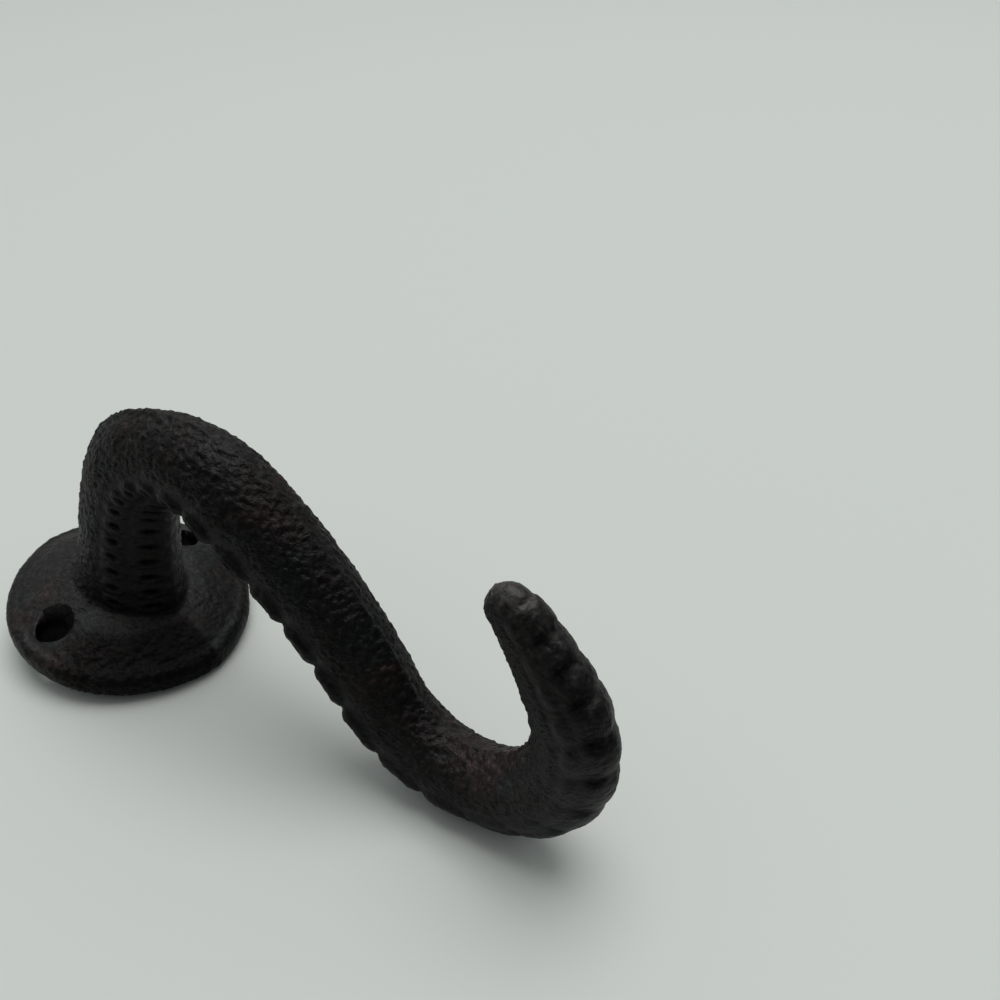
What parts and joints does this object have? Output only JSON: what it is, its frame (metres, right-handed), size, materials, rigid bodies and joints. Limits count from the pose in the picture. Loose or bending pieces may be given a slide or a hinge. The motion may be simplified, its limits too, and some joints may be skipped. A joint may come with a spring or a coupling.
{
  "type": "wall hook",
  "caption": "Cast-iron wall hook shaped as a tentacle: a pointed dished plate with countersunk screw holes, a stem that arches over, falls and curls up at the tip, suckers along its inner side.",
  "frame": {"origin": "centre of the plate's back face", "axes": "+Z out of the wall, +X down the wall, so the arm lies in the plane y = 0"},
  "size_m": [0.1156, 0.04, 0.0555],
  "materials": {
    "iron": "near-black brown-grey, raw sand-cast grain, matt with a faint sheen"
  },
  "bodies": {
    "root": {"tentacle_hook": "iron"}
  },
  "joints": []
}
